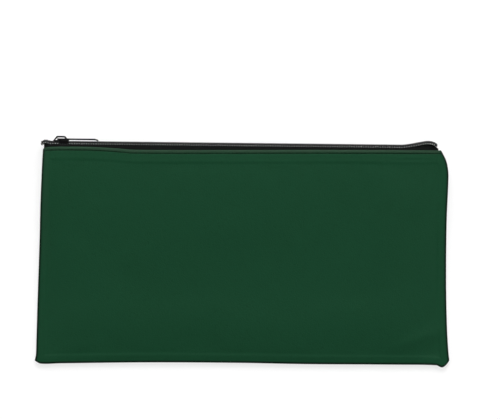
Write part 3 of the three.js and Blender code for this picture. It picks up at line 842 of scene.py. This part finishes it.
def coil_stitching(side, table, material):
    """Two rows of stitches hold the coil to its tape: each crosses over a loop and dives between loops. The
    outer row comes out at the coil's foot, between the loops."""
    sides = 6
    at = np.arange(COIL_PITCH, table[0][-1] - COIL_PITCH, COIL_PITCH / 20)
    swing = np.cos(TURN * (at / COIL_PITCH - first_loop(side)))
    over = smooth(0.62 + 0.62 * swing)
    sway = 0.12 * np.sin(TURN * at / COIL_PITCH)
    rows, foot_highlights = [], []
    for out, foot_up, foot_out, shown in STITCH_ROWS:
        path = on_chain(side, at, mix(foot_up, STITCH_TOP, over), mix(foot_out, out, over) + sway, table)
        rows.append(tube(path, mix(0.30, 0.12, over), (0, 0, 1), sides, lobes=2, lobe_depth=0.2, lay=0.9))
        # the feet of a shown row get the painted highlight
        foot_highlights.append(np.repeat(np.clip(-swing, 0, 1) ** 10 * shown, sides))
    name = f"{SIDES[side]}_coil_stitching"
    mesh = turned_outwards(mesh_of(name, *joined(rows)))
    paint(mesh, "foot", np.concatenate(foot_highlights))
    return piece(f"{name}_rows", mesh, material, name)


def tape_line(x):
    """The middle of a tape's section at x, as (height over the chain, distance out): flat, bent and down."""
    leg = float(leg_at(x)) + TAPE / 2
    top = TAPE_TOP - TAPE / 2
    near = min(TAPE_INNER + float(parting(x)), leg - 0.3)
    radius = min(TAPE_ROUND, (leg - near) * 0.8)
    low = TAPE_BOTTOM - float(chain_y(x))
    bend = [TURN / 4 * k / 5 for k in range(1, 6)]
    return np.array([*[(top, mix(near, leg - radius, k / 5)) for k in range(6)],
                     *[(top - radius * (1 - math.cos(a)), leg - radius * (1 - math.sin(a))) for a in bend],
                     *[(mix(top - radius, low, k / 8), leg) for k in range(1, 9)]])


def tape(side, material):
    """The woven tape lies flat under its coil, bends over and runs down behind the hem."""
    loops = []
    for x in np.linspace(SEAM_LEFT + 0.4, SEAM_RIGHT - 0.9, 230):
        line = tape_line(x)
        tangent = np.gradient(line, axis=0)
        tangent /= np.linalg.norm(tangent, axis=1, keepdims=True)
        normal = np.stack([-tangent[:, 1], tangent[:, 0]], axis=-1) * TAPE / 2
        section = np.concatenate([line + normal, (line - normal)[::-1]])
        loops.append(np.stack([np.full(len(section), x), float(chain_y(x)) + section[:, 0],
                               CHAIN_Z + side * section[:, 1]], axis=-1))
    count = len(loops[0])
    last = (len(loops) - 1) * count
    caps = [(k + start, k + 1 + start, count - 2 - k + start, count - 1 - k + start)
            for start in (0, last) for k in range(count // 2 - 1)]
    faces = [*grid_faces(len(loops), count, wrap=True), *caps]
    name = f"{SIDES[side]}_zip_tape"
    mesh = turned_outwards(mesh_of(name, np.concatenate(loops), faces))
    return piece(f"{name}_woven", mesh, material, name)


# ---------------------------------------------------------------- slider and pull tab

def prism(outline, low, high, upright=False):
    """Points and faces of an outline drawn out from low to high. The outline is (along, across) seen along
    the chain's height, or (along, height) seen from the front if upright."""
    n = len(outline)
    points = [(along, other, level) if upright else (along, level, other)
              for level in (low, high) for along, other in outline]
    faces = [tuple(range(n)), tuple(range(n, 2 * n))[::-1]]
    faces += [(k, (k + 1) % n, (k + 1) % n + n, k + n) for k in range(n)]
    return np.array(points, float), faces


def rounded(corners, radius):
    """An outline with round corners."""
    corners = [np.array(c, float) for c in corners]
    points = []
    for k, corner in enumerate(corners):
        ends = []
        for other in (corners[k - 1], corners[(k + 1) % len(corners)]):
            length = np.linalg.norm(other - corner)
            ends.append(corner + (other - corner) / length * min(radius, length * 0.48))
        for t in np.linspace(0, 1, 6):
            points.append((1 - t) ** 2 * ends[0] + 2 * t * (1 - t) * corner + t * t * ends[1])
    return points


def mirrored(corners):
    """An outline that is the same on both sides of the chain, from the corners on its lower side."""
    return [*corners, *[(along, -across) for along, across in reversed(corners)]]


def melted(obj, voxel):
    """Adds a modifier that makes an object's overlapping shells into one solid."""
    remesh = obj.modifiers.new("melt", "REMESH")
    remesh.mode = "VOXEL"
    remesh.voxel_size = voxel * MM


def cast(name, parts, voxel, rounds, cutters=()):
    """A casting: overlapping shells melted into one solid, with the cutters taken away and its edges rounded
    off in a number of rounds."""
    obj = new_object(name, turned_outwards(mesh_of(name, *joined(parts))))
    tools = [new_object("cutter", turned_outwards(mesh_of("cutter", *cutter))) for cutter in cutters]
    melted(obj, voxel)
    for tool in tools:
        cut = obj.modifiers.new("cut", "BOOLEAN")
        cut.operation = "DIFFERENCE"
        cut.object = tool
        cut.solver = "EXACT"
    if tools:
        melted(obj, voxel)
    soften = obj.modifiers.new("soften", "SMOOTH")
    soften.factor = 0.5
    soften.iterations = rounds
    result = bpy.data.meshes.new_from_object(obj.evaluated_get(bpy.context.evaluated_depsgraph_get()))
    result.name = name
    for used in [obj, *tools]:
        bpy.data.objects.remove(used)
    result.shade_smooth()
    return result


def to_slider(mesh, along=0.0, up=0.0):
    """Moves a mesh made about the slider's middle to its place on the chain."""
    mesh.transform(Matrix.Translation(Vector((SLIDER_X, SLIDER_Y, CHAIN_Z)) * MM)
                   @ Matrix.Rotation(math.atan(SLOPE), 4, "Z")
                   @ Matrix.Translation(Vector((along, up, 0)) * MM))
    return mesh


def slider_body(material):
    """A casting: two plates joined by a post in front, the upper one with side flanges and a crown."""
    half, rear_half = 4.25, 3.95
    front, rear = -5.2, 5.2
    shield = rounded([*mirrored([(front + 0.2, -half + 0.9), (front + 1.2, -half), (0.5, -half),
                                 (rear, -rear_half)]), (front, 0)], 0.8)
    ceiling, floor = 1.2, -1.8
    thick = 0.6
    flange_foot = -0.62
    parts = [prism(shield, ceiling, ceiling + thick), prism(shield, floor - thick, floor)]
    for side in (-1, 1):
        flange = [(-1.1, side * (half - 0.1)), (rear - 0.3, side * rear_half),
                  (rear - 0.3, side * (rear_half - 0.75)), (-1.1, side * (half - 0.95))]
        parts.append(prism(flange, flange_foot, ceiling + thick / 2))
    post = rounded([(front + 0.4, 0), (front + 1.2, -0.5), (front + 2.6, -0.5), (front + 3.4, 0),
                    (front + 2.6, 0.5), (front + 1.2, 0.5)], 0.4)
    parts.append(prism(post, floor - thick / 2, ceiling + thick / 2))
    sill = ceiling + thick
    crown = [(-4.9, sill - 0.3), (-4.85, sill), (-3.15, 4.05), (-2.85, 4.38), (-2.4, 4.5), (2.05, 4.5),
             (2.5, 4.4), (2.85, 4.1), (4.85, sill), (4.9, sill - 0.3), (3.95, sill - 0.3), (3.9, sill),
             (2.15, 3.3), (1.9, 3.45), (-2.1, 3.45), (-2.35, 3.32), (-3.95, sill), (-4.0, sill - 0.3)]
    parts.append(prism(crown, -1.1, 1.1, upright=True))
    mesh = to_slider(cast("slider_body_casting", parts, 0.09, 5))
    return piece("slider_body_casting", mesh, material, "slider_body", body="slider")


def pull_tab(material):
    """A stamped strip: a slot for the crown, a sunk panel on both faces and a turned-down tip."""
    half = 0.48
    length, turn, drop = 26.3, 1.9, 0.75
    bend = length - turn
    half_width = 2.6
    sunk_depth = 0.14
    beyond = 2
    axis = (-2.1, 2.4)
    outline = rounded(mirrored([(-half, -half_width + 1.1), (-half + 0.3, -half_width + 0.35),
                                (1.2, -half_width), (8.4, -half_width), (10.4, -half_width + 0.45),
                                (bend - 4, -half_width + 0.1), (length - 0.8, -half_width),
                                (length, -half_width + 0.8)]), 0.9)
    slot = rounded(mirrored([(half, -1.4), (7.4, -1.4)]), 1.0)
    sunk = rounded(mirrored([(11.6, -half_width + 1.25), (bend - 2.2, -half_width + 0.9)]), 0.7)
    cutters = [prism(slot, -beyond, beyond), prism(sunk, half - sunk_depth, beyond),
               prism(sunk, -beyond, -half + sunk_depth)]
    mesh = cast("pull_tab_stamping", [prism(outline, -half, half)], 0.1, 4, cutters)
    for vertex in mesh.vertices:
        past_bend = vertex.co.x / MM - bend + 0.3
        vertex.co.y -= drop * MM * max(0.0, past_bend / (turn + 0.3)) ** 1.15
    mesh.update()
    mesh = to_slider(mesh, *axis)
    return piece("pull_tab_stamping", mesh, material, "pull_tab", body="pull")


# ---------------------------------------------------------------- studio

def studio():
    """A pale floor that glows faintly, as a light table does, under a soft sky, with a large light beyond the
    zip and a weaker one on each side."""
    below_bag, glow = 0.0001, 0.66
    bpy.ops.mesh.primitive_circle_add(vertices=96, radius=25, fill_type="NGON",
                                      location=(0, 0, cad_box[0].z - below_bag))
    floor = bpy.context.object
    floor.name = "floor"
    material, tree, surface, where = shader("pale_floor", specular=0.1)
    shade = noise(tree, where, 900, detail=2)
    tone = blended(tree, shade, (0.33, 0.33, 0.33, 1), (0.35, 0.35, 0.35, 1))
    tree.links.new(tone, surface.inputs["Base Color"])
    surface.inputs["Roughness"].default_value = 0.9
    surface.inputs["Emission Color"].default_value = (1, 1, 1, 1)
    surface.inputs["Emission Strength"].default_value = glow
    floor.data.materials.append(material)

    world = bpy.data.worlds.new("studio")
    bpy.context.scene.world = world
    world.use_nodes = True
    tree = world.node_tree
    direction = node(tree, "ShaderNodeTexCoord").outputs["Generated"]
    height = node(tree, "ShaderNodeSeparateXYZ", {0: direction}).outputs["Z"]
    sky = blended(tree, ramp(tree, height, 0.0, 0.75), (0.85, 0.85, 0.85, 1), (0.24, 0.24, 0.24, 1))
    background = next(n for n in tree.nodes if n.type == "BACKGROUND")
    tree.links.new(sky, background.inputs["Color"])

    for name, stand, size, watts in (("key", (0.1, 1.7, 1.35), 1.3, 50),
                                     ("left_fill", (-1.9, 0.1, 1.4), 1.2, 12),
                                     ("right_fill", (1.9, 0.1, 1.4), 1.2, 12)):
        light = bpy.data.lights.new(name, "AREA")
        light.size = size
        light.energy = watts
        lamp = new_object(name, light)
        lamp.location = stand
        lamp.rotation_euler = (-Vector(stand)).to_track_quat("-Z", "Y").to_euler()


def camera():
    """Straight above the bag, with the zip at the top of the picture."""
    distance = 2.0
    seen_width = 0.3246
    data = bpy.data.cameras.new("camera")
    data.sensor_width = 36
    data.lens = data.sensor_width * distance / seen_width
    obj = new_object("camera", data)
    obj.location = (0.0052, 0.0274, cad_box[1].z * 0.6 + distance)
    bpy.context.scene.camera = obj


camera()
studio()
leather = leather_material()
backing = backing_material()
woven = tape_material()
nylon = nylon_material()
enamel = enamel_material()
green_thread = thread_material("dark_green_thread", (0.0010, 0.009, 0.004), (0.0026, 0.018, 0.008))
black_thread = thread_material("black_zip_thread", (0.007, 0.0075, 0.0075), (0.030, 0.031, 0.031), 0.05)
chain_table = chain_frame()

for side in SIDES:
    panel_obj = panel(side, settled(side), leather, backing)
    tape_obj = tape(side, woven)
    coil(side, chain_table, nylon)
    coil_cord(side, chain_table, black_thread)
    coil_stitching(side, chain_table, black_thread)
    for which in ("needle", "bobbin"):
        topstitch(side, which, green_thread)
for where in ("left", "right", "bottom"):
    for which in ("needle", "bobbin"):
        seam_thread(where, which, green_thread)
slider_body(enamel)
pull_tab(enamel)

scene = bpy.context.scene
scene.view_settings.view_transform = "Standard"
scene.view_settings.look = "None"
